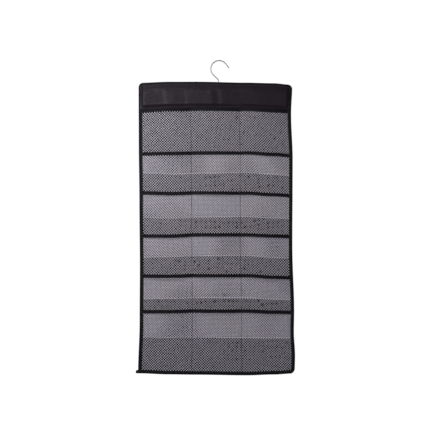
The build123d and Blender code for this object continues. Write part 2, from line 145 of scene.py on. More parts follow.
STITCH_LENGTH, STITCH_GAP = 3.2 * MM, 0.7 * MM
STITCH_UNEVENNESS = 0.15  # of a gap
LEVEL_STEP, UPRIGHT_STEP = 2 * MM, 1 * MM  # between the points of a line of stitches
THREAD_WIDTH, THREAD_HEIGHT = 0.75 * MM, 0.5 * MM
DIVIDER_THREAD_WIDTH = 1.6 * MM
STITCH_INSET = 2.4 * MM  # from a tape's inner edge to its stitches
SEAM_INSET = 3.4 * MM  # from a sheet's sewn edge to its stitches
HEADER_STITCH_INSET = 6.9 * MM
HEADER_SEAM_LAP = 9 * MM  # from the panel's edges to the ends of the header's lower seam
FOOT_SEAM_LAP, SIDE_SEAM_LAP = 4 * MM, 2 * MM
SIDE_SEAM_POINTS = 250
RING_POINTS = 6
# Along a stitch: how far along, how thick, and how far it stands off the cloth, as shares
STITCH_RINGS = ((0, 0.45, -0.25), (0.14, 0.9, 0.15), (0.5, 1.0, 0.3), (0.86, 0.9, 0.15), (1, 0.45, -0.25))

# ---------------------------------------------------------------- the header's shape, and the back's

# The header stands out at its top, leans out further over the bar, and returns below it
HEADER_STANDS, HEADER_LEAN, HEADER_RETURN = 2.0 * MM, 6.0 * MM, 4.6 * MM
LEAN_DROP, RETURN_START, RETURN_DROP = 26 * MM, 28 * MM, 33 * MM
BOSS_BULGE, BOSS_BULGE_REACH = 1.2 * MM, 26 * MM
HEADER_SIDE_FLAT, HEADER_SIDE_EASE = 3 * MM, 13 * MM
FOLDS_START, FOLDS_EASE = 16 * MM, 14 * MM
FOLD_SLANT, FOLD_LEVEL = 0.12, 45  # millimetres across for each one down, from this far down
SHORT_CREASE, SHORT_CREASE_LENGTH = 0.12 * MM, 0.05
LONG_CREASE, LONG_CREASE_LENGTH = 0.25 * MM, 0.11
LONG_CREASE_RISE = 0.3  # how much Z counts beside X, so that these run up and down
TURN_IN_RISE, TURN_IN_EASE = 11 * MM, 10 * MM  # the foot turns in to lie on the backing
RIDGE, RIDGE_RISE, RIDGE_HALF = 0.5 * MM, 12 * MM, 1.8 * MM
TOP_ROLL, TOP_ROLL_DROP, TOP_ROLL_EASE = 1.6 * MM, 5 * MM, 6 * MM

# Upright folds in the header below its bar: how far it stands back in mm, at places across in mm
HEADER_FOLDS = (
    (-235, -165, -150, -100, -91, -24, -2, 11, 70, 130, 215),
    (0.0, 1.5, 0.5, 1.3, 0.8, 0.3, 2.2, 1.4, 1.9, 1.0, 0.0),
)

# The level seams that go through to the back: the header's lower one, then one at each strip's foot
BACK_SEAM_ZS = [HEADER_FOOT + SEAM_INSET] + [low.z + SEAM_INSET for low, high in ROWS[:-1]]
BACK_STANDS, BACK_FULLNESS = 0.3 * MM, 0.9 * MM
BACK_CREASE, BACK_CREASE_LENGTH = 0.5 * MM, 0.085
BACK_EASE, BACK_TOP_EASE, BACK_CREASE_EASE = 0.03, 0.012, 0.015
GATHER_HEIGHT, GATHER_LENGTH, GATHER_REACH = 0.25 * MM, 13 * MM, 9 * MM
GATHER_WANDER, GATHER_WANDER_LENGTH = 6 * MM, 0.05
BOSS_PRINT, BOSS_PRINT_REACH = 0.8 * MM, 14 * MM
FAR = 0.1  # from the dividers, anywhere on the header

# ---------------------------------------------------------------- how the sewn panel hangs

# How far the sewn lines hang off true, upwards in mm, at shares of the half width from the middle
SEWN_ACROSS = (-1.0, -0.6, -0.25, 0.4, 0.75, 1.0)
SEWN_LINES = (
    (TOP, (-0.4, 2.6, 2.8, 0.1, -1.5, -6.0)),
    (ROW_TOPS[0], (-6.0, -2.0, -0.4, -1.3, -5.0, -7.0)),
    (ROW_TOPS[1], (-2.8, -1.8, -0.3, 0.0, -4.2, -7.8)),
    (ROW_TOPS[2], (-1.3, -3.6, -1.7, -2.5, -7.0, -9.8)),
    (ROW_TOPS[3], (-5.0, -5.0, -1.4, -1.7, -4.6, -6.2)),
    (ROW_TOPS[4], (-4.6, -4.8, -3.5, -3.6, -8.0, -10.0)),
    (ROW_TOPS[5], (-1.9, -1.1, 0.4, 0.2, -2.8, -4.5)),
    (BOTTOM, (3.2, 0.0, -0.9, -2.7, -0.3, 2.7)),
)
# How far the long edges wander to the right, in mm, at shares of the way down
LEFT_EDGE = ((0.0, 0.2, 0.4, 0.63, 0.82, 1.0), (1.9, 2.5, 4.2, 5.7, 4.9, 0.5))
RIGHT_EDGE = (
    (0.0, 0.1, 0.25, 0.55, 0.78, 0.85, 0.94, 0.98, 1.0),
    (-3.4, -6.8, -2.3, -3.2, 2.2, 1.3, 4.8, 4.0, 1.6),
)
SWAY, SWAY_LENGTH, SWAY_EASE = 1.2, 0.55, 0.1  # forwards and back in mm, below the header


def smooth(t):
    """0 below 0, 1 above 1, and an S between."""
    t = np.clip(t, 0, 1)
    return t * t * (3 - 2 * t)


def eased(t, places, values):
    """Values given at rising places, with an S between each two."""
    places, values = np.asarray(places), np.asarray(values)
    i = np.clip(np.searchsorted(places, t, side="right") - 1, 0, len(places) - 2)
    return values[i] + (values[i + 1] - values[i]) * smooth((t - places[i]) / (places[i + 1] - places[i]))


def hump(t):
    """1 at 0, falling away to 0 on both sides, mostly by 2."""
    return np.exp(-(t**2))


def ripple(x, z, length, seed):
    """Soft waves between -1 and 1, about a length from crest to crest. The seed sets where they lie."""
    total = 0
    for k in range(4):
        angle = seed + 2.4 * k
        along = x * math.cos(angle) + z * math.sin(angle)
        total = total + np.sin(2 * math.pi / length * (1 + 0.37 * k) * along + 1.7 * seed * (k + 1))
    return total / 4


def drape(points):
    """Shifts points laid out true to where the sewn cloth hangs."""
    x, y, z = np.asarray(points, float).T
    across = np.clip((x - CENTRE_X) / HALF_WIDTH, -1, 1)
    down = np.clip((TOP - z) / (TOP - BOTTOM), 0, 1)
    shift_x = eased(down, *LEFT_EDGE) * (1 - across) / 2 + eased(down, *RIGHT_EDGE) * (1 + across) / 2
    depths = np.array([-level for level, lifts in SEWN_LINES])
    lifts = np.array([eased(across, SEWN_ACROSS, line) for level, line in SEWN_LINES])
    i = np.clip(np.searchsorted(depths, -z, side="right") - 1, 0, len(depths) - 2)
    way = np.clip((-z - depths[i]) / (depths[i + 1] - depths[i]), 0, 1)
    each = np.arange(len(z))
    shift_z = lifts[i, each] * (1 - way) + lifts[i + 1, each] * way
    shift_y = SWAY * smooth((ROW_TOPS[0] - z) / SWAY_EASE) * ripple(x, z, SWAY_LENGTH, 3.1)
    return np.stack([x + shift_x * MM, y + shift_y * MM, z + shift_z * MM], -1)


# ---------------------------------------------------------------- layers of cloth, laid out true


def bow(row, x, z):
    """How far a row's strip bows forwards between its seams."""
    share = (z - ROWS[row][0].z) / POCKET_HEIGHT
    low = np.clip(share / KNEE_SHARE, 0, 1)
    high = np.clip((share - KNEE_SHARE) / (1 - KNEE_SHARE), 0, ABOVE_MOUTH)
    gape = high * (1 - MOUTH_CURL + MOUTH_CURL * high)
    depth = MIN_DEPTH + (KNEE_DEPTH - MIN_DEPTH) * low + (MOUTH_DEPTH - KNEE_DEPTH) * gape
    arch = np.zeros_like(x + z)
    for column, (start, end) in enumerate(zip(POCKET_EDGES, POCKET_EDGES[1:])):
        u = np.clip((2 * x - start - end) / (end - start), -1, 1)
        fullness = FULLNESS + FULLNESS_SPREAD * math.sin(2.1 * row + 3.7 * column)
        lean = LEAN_SPREAD * math.sin(1.3 * row + 5.1 * column)
        sewn_down = smooth((1 - np.abs(u)) * (end - start) / 2 / SEAM_ROUNDING)
        arch = arch + fullness * (1 - u * u) * (1 + lean * u) * sewn_down
    return depth * arch * (1 + UNEVENNESS * ripple(x, z, UNEVEN_LENGTH, row + 1.0))


def strip_middle(row, x, z):
    """Y of the middle of a row's strip."""
    share = (z - ROWS[row][0].z) / POCKET_HEIGHT
    return ROWS[row][1].y - TOP_SEAT * share - bow(row, x, z) - CROSSING_HALF


def stack_front(x, z):
    """Y of the foremost cloth below the header, hems counted."""
    front = np.full_like(x + z, BACKING_FRONT)
    for row, (low, high) in enumerate(ROWS):
        hem = np.where(z > high.z - HEM_WIDTH, CLEARANCE + HEM_THICKNESS, 0)
        face = strip_middle(row, x, z) - CROSSING_HALF - hem
        front = np.where((z >= low.z) & (z <= high.z), np.minimum(front, face), front)
    return front


def backing_back(x, z):
    """Y of the backing's back: fuller between its seams, gathered along them, pressed out by the boss."""
    inside = smooth((HALF_WIDTH - np.abs(x - CENTRE_X)) / BACK_EASE) * smooth((z - BOTTOM) / BACK_EASE)
    inside = inside * smooth((TOP - z) / BACK_TOP_EASE)
    to_upright = np.minimum(*[np.abs(x - place) for place in SEAM_XS])
    to_upright = to_upright + FAR * (z > HEADER_FOOT)
    to_level = np.min([np.abs(z - level) for level in BACK_SEAM_ZS], 0)
    full = BACK_FULLNESS * smooth(to_upright / BACK_EASE) * smooth(to_level / BACK_EASE)
    creased = BACK_CREASE * ripple(x, z, BACK_CREASE_LENGTH, 0.6)
    creased = creased * smooth(to_level / BACK_CREASE_EASE) * smooth(to_upright / BACK_CREASE_EASE)
    wander = GATHER_WANDER * ripple(x, z, GATHER_WANDER_LENGTH, 4.4)
    turns = 2 * math.pi / GATHER_LENGTH
    gathers = np.exp(-to_level / GATHER_REACH) * np.sin(turns * (x + wander))
    gathers = gathers + np.exp(-to_upright / GATHER_REACH) * np.sin(turns * (z + wander))
    boss = hump((x - NECK_X) / BOSS_PRINT_REACH) * hump((z - bar_low.z) / BOSS_PRINT_REACH - 1)
    return BACKING_BACK + inside * (
        BACK_STANDS + full + creased + GATHER_HEIGHT * gathers + BOSS_PRINT * boss
    )


def header_face(x, z):
    """Y of the header's front face. It leans out over the bar and its boss, and turns in at its foot."""
    from_side = HALF_WIDTH - np.abs(x - CENTRE_X) - HEADER_SIDE_FLAT
    down = TOP - z
    lean = np.clip(down / LEAN_DROP, 0, 1)
    hang = np.clip((down - RETURN_START) / RETURN_DROP, 0, 1)
    pouch = -HEADER_STANDS - HEADER_LEAN * lean + HEADER_RETURN * hang
    pouch = pouch - BOSS_BULGE * hump((x - NECK_X) / BOSS_BULGE_REACH)
    slanted = x / MM - FOLD_SLANT * (down / MM - FOLD_LEVEL)
    pouch = pouch + MM * eased(slanted, *HEADER_FOLDS) * smooth((down - FOLDS_START) / FOLDS_EASE)
    pouch = pouch + LONG_CREASE * ripple(x, LONG_CREASE_RISE * z, LONG_CREASE_LENGTH, 2.2)
    pouch = pouch + SHORT_CREASE * ripple(x, z, SHORT_CREASE_LENGTH, 5.0)
    ridge = RIDGE * hump((z - HEADER_FOOT - RIDGE_RISE) / RIDGE_HALF)
    rolled = TOP_ROLL * smooth((z - TOP + TOP_ROLL_DROP) / TOP_ROLL_EASE)
    flange = BACKING_FRONT - 2 * CLEARANCE - HEADER_THICKNESS
    turned_in = smooth((HEADER_FOOT + TURN_IN_RISE - z) / TURN_IN_EASE)
    standing = smooth(from_side / HEADER_SIDE_EASE) * (1 - turned_in)
    return flange + (pouch - ridge + rolled - flange) * standing


# ---------------------------------------------------------------- making pieces


def closed_grid(front, back):
    """Points and faces of a sheet with a grid of points on each side, closed along its border."""
    rows, columns = front.shape[:2]
    count = rows * columns
    index = np.arange(count).reshape(rows, columns)
    quads = np.stack([index[:-1, :-1], index[:-1, 1:], index[1:, 1:], index[1:, :-1]], -1).reshape(-1, 4)
    border = np.concatenate([index[0, :-1], index[:-1, -1], index[-1, :0:-1], index[:0:-1, 0]])
    after = np.roll(border, -1)
    walls = np.stack([border, after, after + count, border + count], -1)
    points = np.concatenate([front.reshape(-1, 3), back.reshape(-1, 3)])
    return points, np.concatenate([quads, quads[:, ::-1] + count, walls]).tolist()


def make_piece(name, points, faces, material, slot, flat=None, area=None, held="hung"):
    """A draped cloth piece that stands for the CAD node of its name."""
    mesh = bpy.data.meshes.new(name)
    mesh.from_pydata(drape(points).tolist(), [], faces)
    edit = bmesh.new()
    edit.from_mesh(mesh)
    bmesh.ops.recalc_face_normals(edit, faces=edit.faces)
    edit.to_mesh(mesh)
    edit.free()
    mesh.shade_smooth()
    mesh.materials.append(material)
    piece = bpy.data.objects.new(name + "_cloth", mesh)
    bpy.context.scene.collection.objects.link(piece)
    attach(piece, "organizer")
    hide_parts(name)
    return piece


def corner_rise(x, radius):
    """How far a rounded corner's outline stands back from the level, going towards either side."""
    into = np.clip(np.abs(x - CENTRE_X) - (HALF_WIDTH - radius), 0, radius)
    return radius - np.sqrt(np.maximum(radius**2 - into**2, 0))


def foot_rise(x):
    """How far the panel's foot stands up: only its right corner is rounded."""
    return np.where(x > CENTRE_X, corner_rise(x, FOOT_RADIUS), 0)


# ---------------------------------------------------------------- materials


def new_material(name, colour, roughness, specular=0.5, sheen=0.0, metallic=0.0):
    material = bpy.data.materials.new(name)
    material.use_nodes = True
    shader = material.node_tree.nodes["Principled BSDF"]
    shader.inputs["Base Color"].default_value = (*colour, 1)
    shader.inputs["Roughness"].default_value = roughness
    shader.inputs["Specular IOR Level"].default_value = specular
    shader.inputs["Sheen Weight"].default_value = sheen
    shader.inputs["Metallic"].default_value = metallic
    return material


def object_place(tree):
    """The place on the object."""
    place = tree.nodes.new("ShaderNodeTexCoord")
    return place.outputs["Object"]


def noise(tree, vector, scale, detail=3.0):
    node = tree.nodes.new("ShaderNodeTexNoise")
    node.inputs["Scale"].default_value = scale
    node.inputs["Detail"].default_value = detail
    tree.links.new(vector, node.inputs["Vector"])
    return node.outputs["Fac"]


def wave(tree, vector, direction, scale):
    node = tree.nodes.new("ShaderNodeTexWave")
    node.bands_direction = direction
    node.inputs["Scale"].default_value = scale
    node.inputs["Distortion"].default_value = 0.6
    tree.links.new(vector, node.inputs["Vector"])
    return node.outputs["Fac"]


def multiply(tree, a, b):
    node = tree.nodes.new("ShaderNodeMath")
    node.operation = "MULTIPLY"
    tree.links.new(a, node.inputs[0])
    tree.links.new(b, node.inputs[1])
    return node.outputs[0]


def add_bump(tree, height, depth):
    bump = tree.nodes.new("ShaderNodeBump")
    bump.inputs["Strength"].default_value = 1.0
    bump.inputs["Distance"].default_value = depth
    tree.links.new(height, bump.inputs["Height"])
    tree.links.new(bump.outputs["Normal"], tree.nodes["Principled BSDF"].inputs["Normal"])


def vary_colour(tree, factor, dark, light):
    ramp = tree.nodes.new("ShaderNodeMix")
    ramp.data_type = "RGBA"
    ramp.inputs["A"].default_value = (*dark, 1)
    ramp.inputs["B"].default_value = (*light, 1)
    tree.links.new(factor, ramp.inputs["Factor"])
    tree.links.new(ramp.outputs["Result"], tree.nodes["Principled BSDF"].inputs["Base Color"])


def nonwoven(name, dark, light, roughness, specular):
    """Spun cloth, pressed in a close pattern of dots, with clouds of thicker and thinner fibre."""
    material = new_material(name, dark, roughness, specular)
    tree = material.node_tree
    place = object_place(tree)
    vary_colour(tree, noise(tree, place, scale=90.0, detail=5.0), dark, light)
    dots = tree.nodes.new("ShaderNodeTexVoronoi")
    dots.inputs["Scale"].default_value = 620.0
    dots.inputs["Randomness"].default_value = 0.25
    tree.links.new(place, dots.inputs["Vector"])
    height = multiply(tree, dots.outputs["Distance"], noise(tree, place, scale=260.0))
    add_bump(tree, height, depth=0.5 * MM)
    return material


def ribbed_tape():
    """Black tape, woven in fine ribs both ways."""
    dark, light = (0.005, 0.0043, 0.0055), (0.0125, 0.0110, 0.0135)
    material = new_material("ribbed_tape", dark, roughness=0.7, specular=0.08)
    tree = material.node_tree
    place = object_place(tree)
    vary_colour(tree, noise(tree, place, scale=240.0, detail=4.0), dark, light)
    weave = multiply(tree, wave(tree, place, "X", scale=210.0), wave(tree, place, "Z", scale=210.0))
    add_bump(tree, weave, depth=0.25 * MM)
    return material


header_cloth = nonwoven(
    "header_nonwoven", (0.0115, 0.0078, 0.0117), (0.0160, 0.0110, 0.0162), roughness=0.4, specular=0.18
)
backing_cloth = nonwoven(
    "backing_nonwoven", (0.008, 0.0065, 0.0085), (0.0125, 0.010, 0.013), roughness=0.5, specular=0.16
)
tape_cloth = ribbed_tape()
yarn = new_material("mesh_yarn", (0.80, 0.755, 0.825), roughness=0.6, specular=0.3, sheen=0.2)
thread = new_material("sewing_thread", (0.032, 0.029, 0.034), roughness=0.4)
plated_wire = new_material("plated_wire", (0.31, 0.31, 0.33), roughness=0.45, metallic=1.0)
plain_steel = new_material("plain_steel", (0.5, 0.5, 0.51), roughness=0.35, metallic=1.0)
bar_plastic = new_material("bar_plastic_black", (0.02, 0.02, 0.022), roughness=0.5, specular=0.4)

for node, material in (
    ("hook", plated_wire),
    ("neck_washer", plain_steel),
    ("swivel_bush", plain_steel),
    ("hanger_bar", bar_plastic),
):
    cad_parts[node].data.materials[0] = material

# ---------------------------------------------------------------- backing and header


def sheet_places(feet_at, across, up):
    """X and Z of a sheet's points: so many across, closer together round its corners, and so many up."""
    low, high = LEFT + SHEET_MARGIN, RIGHT - SHEET_MARGIN
    corner = np.linspace(0, 1, SHEET_CORNER_POINTS + 1)[:-1] ** 1.5 * CORNER_RADIUS
    middle = np.linspace(low + CORNER_RADIUS, high - CORNER_RADIUS, across)
    xs = np.concatenate([low + corner, middle, high - corner[::-1]])
    tops = TOP - SHEET_MARGIN - corner_rise(xs, CORNER_RADIUS)
    feet = feet_at(xs)
    x = np.broadcast_to(xs, (up, len(xs)))
    return x, feet + (tops - feet) * np.linspace(0, 1, up)[:, None]


def make_sheet(name, x, z, front, back, height, material, slot):
    """A sheet between two faces of the same places."""
    grids = [np.stack([x, y, z], -1) for y in (front, back)]
    size = (RIGHT - LEFT - 2 * SHEET_MARGIN, height)
    make_piece(name, *closed_grid(*grids), material, slot, flat=size)


def make_backing():
    x, z = sheet_places(lambda xs: BOTTOM + SHEET_MARGIN + foot_rise(xs), *BACKING_POINTS)
    back = backing_back(x, z)
    front = back - (BACKING_BACK - BACKING_FRONT)
    make_sheet("backing_panel", x, z, front, back, TOP - BOTTOM, backing_cloth, "backing_cloth")


def make_header():
    x, z = sheet_places(lambda xs: HEADER_FOOT, *HEADER_POINTS)
    front = header_face(x, z)
    back = front + HEADER_THICKNESS
    make_sheet("header_front", x, z, front, back, TOP - HEADER_FOOT, header_cloth, "header_cloth")


# ---------------------------------------------------------------- tapes


def folded_tape(edge, inward, width, front, back, thickness, roll, puff):
    """Outer and inner grids of a tape folded over an edge of the cloth.

    edge and inward are points and directions in X and Z along the fold, width is the tape's on each face,
    and front and back give Y of the cloth's faces.
    """
    width = np.broadcast_to(width, len(edge))[:, None]
    faces = np.linspace(1, 0, FACE_POINTS)
    turn = np.radians(np.linspace(-90, 90, TURN_POINTS)[1:-1])
    grids = []
    for wall in (0.0, thickness):
        flat = roll + (width - roll) * faces
        x = edge[:, :1] + inward[:, :1] * flat
        z = edge[:, 1:] + inward[:, 1:] * flat
        raised = puff * 4 * faces * (1 - faces)
        front_y = front(x, z) - CLEARANCE - thickness + wall - raised
        back_y = back(x, z) + CLEARANCE + thickness - wall + raised
        middle, half = (front_y + back_y)[:, -1:] / 2, (back_y - front_y)[:, -1:] / 2
        around = wall + (roll - wall) * (1 - np.cos(turn))
        turn_x = edge[:, :1] + inward[:, :1] * around
        turn_z = edge[:, 1:] + inward[:, 1:] * around
        turn_y = middle + half * np.sin(turn)
        parts = ((x, turn_x, x[:, ::-1]), (front_y, turn_y, back_y[:, ::-1]), (z, turn_z, z[:, ::-1]))
        grids.append(np.stack([np.concatenate(part, 1) for part in parts], -1))
    return grids


def make_tape(name, grids, flat):
    """A folded tape. flat, its size before folding, is not used."""
    return make_piece(name, *closed_grid(*grids), tape_cloth, "binding_tape", flat=flat, held="folded")


def level_edge(xs, z):
    """Points along the X of an edge, all at a Z or each at its own."""
    return np.stack([xs, np.broadcast_to(z, xs.shape)], -1)


def make_hem(row):
    """A hem tape over a strip's top edge. Its fold rides just above the mesh."""
    xs = np.linspace(STRIP_START, STRIP_END, HEM_POINTS)
    grids = folded_tape(
        level_edge(xs, ROW_TOPS[row] + CLEARANCE + HEM_THICKNESS),
        np.tile([0.0, -1.0], (len(xs), 1)),
        HEM_WIDTH,
        lambda x, z: strip_middle(row, x, z) - CROSSING_HALF,
        lambda x, z: strip_middle(row, x, z) + CROSSING_HALF,
        HEM_THICKNESS,
        HEM_ROLL,
        HEM_PUFF,
    )
    make_tape(f"hem_tape_row_{row + 1}", grids, (RIGHT - LEFT, 2 * HEM_WIDTH))


def relaxed_front(zs, x):
    """Y of the foremost cloth along an edge, eased so that a tape can follow it without cutting in."""
    reach = 5 * MM
    fine = np.linspace(-reach, reach, 21)
    foremost = np.array([stack_front(np.full_like(fine, x), z + fine).min() for z in zs])
    return np.array([foremost[np.abs(zs - z) <= reach].mean() for z in zs])


def make_side_binding(name, edge_x, towards):
    """towards is 1 where the panel lies to the right of the edge, and -1 where it lies to the left."""
    zs = np.linspace(BOTTOM + (1 - TUCKED_UNDER) * TAPE_WIDTH, HEADER_FOOT, SIDE_POINTS)
    under = relaxed_front(zs, edge_x + towards * TAPE_WIDTH / 2)
    grids = folded_tape(
        np.stack([np.full_like(zs, edge_x - towards * EDGE_BULGE), zs], -1),
        np.tile([float(towards), 0.0], (len(zs), 1)),
        TAPE_WIDTH + EDGE_BULGE,
        lambda x, z: np.interp(z, zs, under),
        backing_back,
        TAPE_THICKNESS,
        SIDE_ROLL,
        TAPE_PUFF,
    )
    make_tape(name, grids, (TAPE_FLAT_WIDTHS * TAPE_WIDTH, zs[-1] - zs[0]))


def over_side_tape(x):
    """1 where the bottom tape lies over a side tape, and 0 between the two."""
    return smooth((np.abs(x - CENTRE_X) - HALF_WIDTH + TAPE_WIDTH + SIDE_TAPE_EASE) / SIDE_TAPE_EASE)


def on_tail(x):
    """1 on the bottom tape's loose end, and 0 on the panel."""
    return smooth((LEFT + TAIL_MARGIN - x) / TAIL_EASE)


def bottom_front(x, z):
    """Y of what the bottom tape covers in front: the last strip and the side tapes, but not at its tail."""
    strip = stack_front(x, np.full_like(x, BOTTOM + TAPE_WIDTH))
    covered = strip - over_side_tape(x) * (TAPE_THICKNESS + SIDE_TAPE_RELIEF)
    return covered + (BACKING_FRONT + TAIL_IN_FRONT - covered) * on_tail(x)


def bottom_back(x, z):
    """Y of what the bottom tape covers behind."""
    side_tape = TAPE_THICKNESS * over_side_tape(x) * (1 - on_tail(x))
    return backing_back(x, z) + side_tape - TAIL_IN_BEHIND * on_tail(x)


def make_bottom_binding():
    turn = np.radians(np.linspace(0, FOOT_CORNER_TURN, FOOT_CORNER_POINTS))
    corner = RIGHT - FOOT_RADIUS * (1 - np.sin(turn))
    xs = np.concatenate([np.linspace(TAIL_END, corner[0], FOOT_POINTS)[:-1], corner])
    narrower = foot_rise(xs) + TAIL_NARROWER * smooth((LEFT - TAIL_MARGIN - xs) / TAIL_NARROWING)
    grids = folded_tape(
        level_edge(xs, BOTTOM - EDGE_BULGE + foot_rise(xs)),
        np.tile([0.0, 1.0], (len(xs), 1)),
        TAPE_WIDTH + EDGE_BULGE - narrower,
        bottom_front,
        bottom_back,
        TAPE_THICKNESS,
        FOOT_ROLL,
        TAPE_PUFF,
    )
    make_tape("bottom_binding", grids, (RIGHT - TAIL_END, TAPE_FLAT_WIDTHS * TAPE_WIDTH))


def header_outline(inset, step):
    """Points and inward directions round the header, up its left side, across, and down its right side."""
    radius = CORNER_RADIUS - inset
    left, right, top = LEFT + inset, RIGHT - inset, TOP - inset
    rise = np.arange(HEADER_FOOT, top - radius, step)
    run = np.arange(left + radius, right - radius, step)[1:]
    turn = np.radians(np.linspace(0, 90, CORNER_POINTS))
    cos, sin = np.cos(turn), np.sin(turn)
    side = np.stack([np.full_like(rise, left), rise], -1)
    corner = np.stack([left + radius * (1 - cos), top - radius * (1 - sin)], -1)
    up = np.concatenate([side, corner])
    up_inward = np.concatenate([np.tile([1.0, 0.0], (len(side), 1)), np.stack([cos, -sin], -1)])
    down = [left + right, 0] + up[::-1] * [-1, 1]
    points = np.concatenate([up, level_edge(run, top), down])
    inward = np.concatenate([up_inward, np.tile([0.0, -1.0], (len(run), 1)), up_inward[::-1] * [-1, 1]])
    return points, inward


def make_header_binding():
    edge, inward = header_outline(-EDGE_BULGE, HEADER_TAPE_STEP)
    grids = folded_tape(
        edge,
        inward,
        HEADER_TAPE_WIDTH + EDGE_BULGE,
        header_face,
        backing_back,
        TAPE_THICKNESS,
        HEADER_TAPE_ROLL,
        HEADER_TAPE_PUFF,
    )
    length = RIGHT - LEFT + 2 * (TOP - HEADER_FOOT)
    flat = (length, HEADER_TAPE_FLAT_WIDTHS * HEADER_TAPE_WIDTH)
    cut_neck_hole(make_tape("header_binding", grids, flat))


def cut_neck_hole(piece):
    """The hook's neck comes out through a round hole in the fold."""
    bpy.ops.mesh.primitive_cylinder_add(
        vertices=32, radius=NECK_HOLE_RADIUS, depth=NECK_HOLE_DEPTH, location=(NECK_X, 0, TOP)
    )
    cutter = bpy.context.object
    cut = piece.modifiers.new("neck_hole", "BOOLEAN")
    cut.operation = "DIFFERENCE"
    cut.object = cutter
    bpy.context.view_layer.objects.active = piece
    bpy.ops.object.modifier_apply(modifier=cut.name)
    bpy.data.objects.remove(cutter)


# ---------------------------------------------------------------- mesh pockets


def hole_lattice(row):
    """X of a strip's columns, Z of its levels, and which of their crossings are the middles of holes.

    All rows share one grid of half pitches, and alternate rows are a hole apart.
    """
    low, high = ROWS[row]
    half = PITCH / 2
    columns = 2 * round((STRIP_END - STRIP_START) / PITCH)
    first = round((low.z + EDGE_SHARE * half - BOTTOM) / half)
    last = math.floor((high.z - BOTTOM) / half)
    xs = np.linspace(STRIP_START, STRIP_END, columns + 1)
    zs = BOTTOM + half * np.concatenate([[first - EDGE_SHARE], np.arange(first, last + 1)])
    column, level = np.meshgrid(np.arange(len(xs)), np.arange(len(zs)))
    return xs, zs, (column + level + first + row) % 2 == 0


def rings_round_holes(hole_i, hole_j, columns, levels):
    """Numbers of the eight points round each hole, anticlockwise, or -1 past the strip's edge."""
    rings = []
    for step_i, step_j, is_middle in AROUND_HOLE:
        i, j = hole_i + step_i, hole_j + step_j
        wide, tall = (columns, levels) if is_middle else (columns + 1, levels + 1)
        number = j * wide + i + is_middle * (columns + 1) * (levels + 1)
        rings.append(np.where((i >= 0) & (i < wide) & (j >= 0) & (j < tall), number, -1))
    return np.stack(rings, -1)


def edge_faces(rings):
    """Faces that fill the half holes along a strip's straight edges. Its corners stay cut off."""
    faces = []
    for ring in rings.tolist():
        if sum(point >= 0 for point in ring) == 5:
            start = next(k for k in range(8) if ring[k] >= 0 > ring[k - 1])
            faces.append((ring[start:] + ring[:start])[:5])
    return faces


def closed_strip(fronts, first_rim, rim_count):
    """All faces of a strip: front, back, and walls along its edges. Both sides share the holes' rims."""

    def behind(point):
        return point if point >= first_rim else point + first_rim + rim_count

    single = {}
    for face in fronts:
        for v, w in zip(face, face[1:] + face[:1]):
            key = (min(v, w), max(v, w))
            single[key] = None if key in single else (v, w)
    outline = [(v, w) for v, w in filter(None, single.values()) if v < first_rim and w < first_rim]
    walls = [[w, v, behind(v), behind(w)] for v, w in outline]
    backs = [[behind(point) for point in face[::-1]] for face in fronts]
    return fronts + backs + walls


def stretched(row, x, z):
    """Places on a strip, pulled a little out of true where no tape holds it."""
    fade = smooth((x - STRIP_START) / TAPE_WIDTH) * smooth((STRIP_END - x) / TAPE_WIDTH)
    fade = fade * smooth((z - BOTTOM) / TAPE_WIDTH) * smooth((ROW_TOPS[row] - z) / TAPE_WIDTH)
    shift_x = STRETCH * fade * ripple(x, z, STRETCH_LENGTH, 1.9 * row + 0.4)
    shift_z = STRETCH * fade * ripple(x, z, STRETCH_LENGTH, 2.3 * row + 4.0)
    return x + shift_x, z + shift_z


def only_used(points, faces):
    """The points that the faces use, and the faces by the points' new numbers."""
    kept = sorted({v for face in faces for v in face})
    number = {v: k for k, v in enumerate(kept)}
    return points[kept], [[number[v] for v in face] for face in faces]


def make_mesh(row):
    """A strip of mesh with round holes, thicker where its bars cross."""
    xs, zs, is_hole = hole_lattice(row)
    hole_j, hole_i = np.nonzero(is_hole)
    rings = rings_round_holes(hole_i, hole_j, len(xs) - 1, len(zs) - 1)
    whole = (rings >= 0).all(-1)
    crossing_x, crossing_z = np.meshgrid(xs, zs)
    middle_x, middle_z = np.meshgrid((xs[1:] + xs[:-1]) / 2, (zs[1:] + zs[:-1]) / 2)
    rim_x = xs[hole_i[whole]][:, None] + HOLE_RADIUS * np.cos(RIM_ANGLES)
    rim_z = zs[hole_j[whole]][:, None] + HOLE_RADIUS * np.sin(RIM_ANGLES)

    first_rim = crossing_x.size + middle_x.size
    outer, rims = rings[whole], first_rim + np.arange(rim_x.size).reshape(-1, 8)
    bars = np.stack([outer, np.roll(outer, -1, 1), np.roll(rims, -1, 1), rims], -1).reshape(-1, 4)
    faces = closed_strip(bars.tolist() + edge_faces(rings[~whole]), first_rim, rims.size)

    x = np.concatenate([crossing_x.ravel(), middle_x.ravel(), rim_x.ravel()])
    z = np.concatenate([crossing_z.ravel(), middle_z.ravel(), rim_z.ravel()])
    x, z = stretched(row, x, z)
    front = np.stack([x, strip_middle(row, x, z), z], -1)
    back = front[:first_rim].copy()
    thick = np.repeat([CROSSING_HALF, BAR_HALF], [crossing_x.size, middle_x.size])
    front[:first_rim, 1] -= thick
    back[:, 1] += thick

    size = (STRIP_END - STRIP_START, POCKET_HEIGHT)
    cloth_area = size[0] * size[1] - OCTAGON_AREA * HOLE_RADIUS**2 * len(outer)
    make_piece(
        f"pocket_mesh_row_{row + 1}",
        *only_used(np.concatenate([front, back]), faces),
        yarn,
        "pocket_mesh",
        flat=size,
        area=cloth_area,
    )


# ---------------------------------------------------------------- stitches


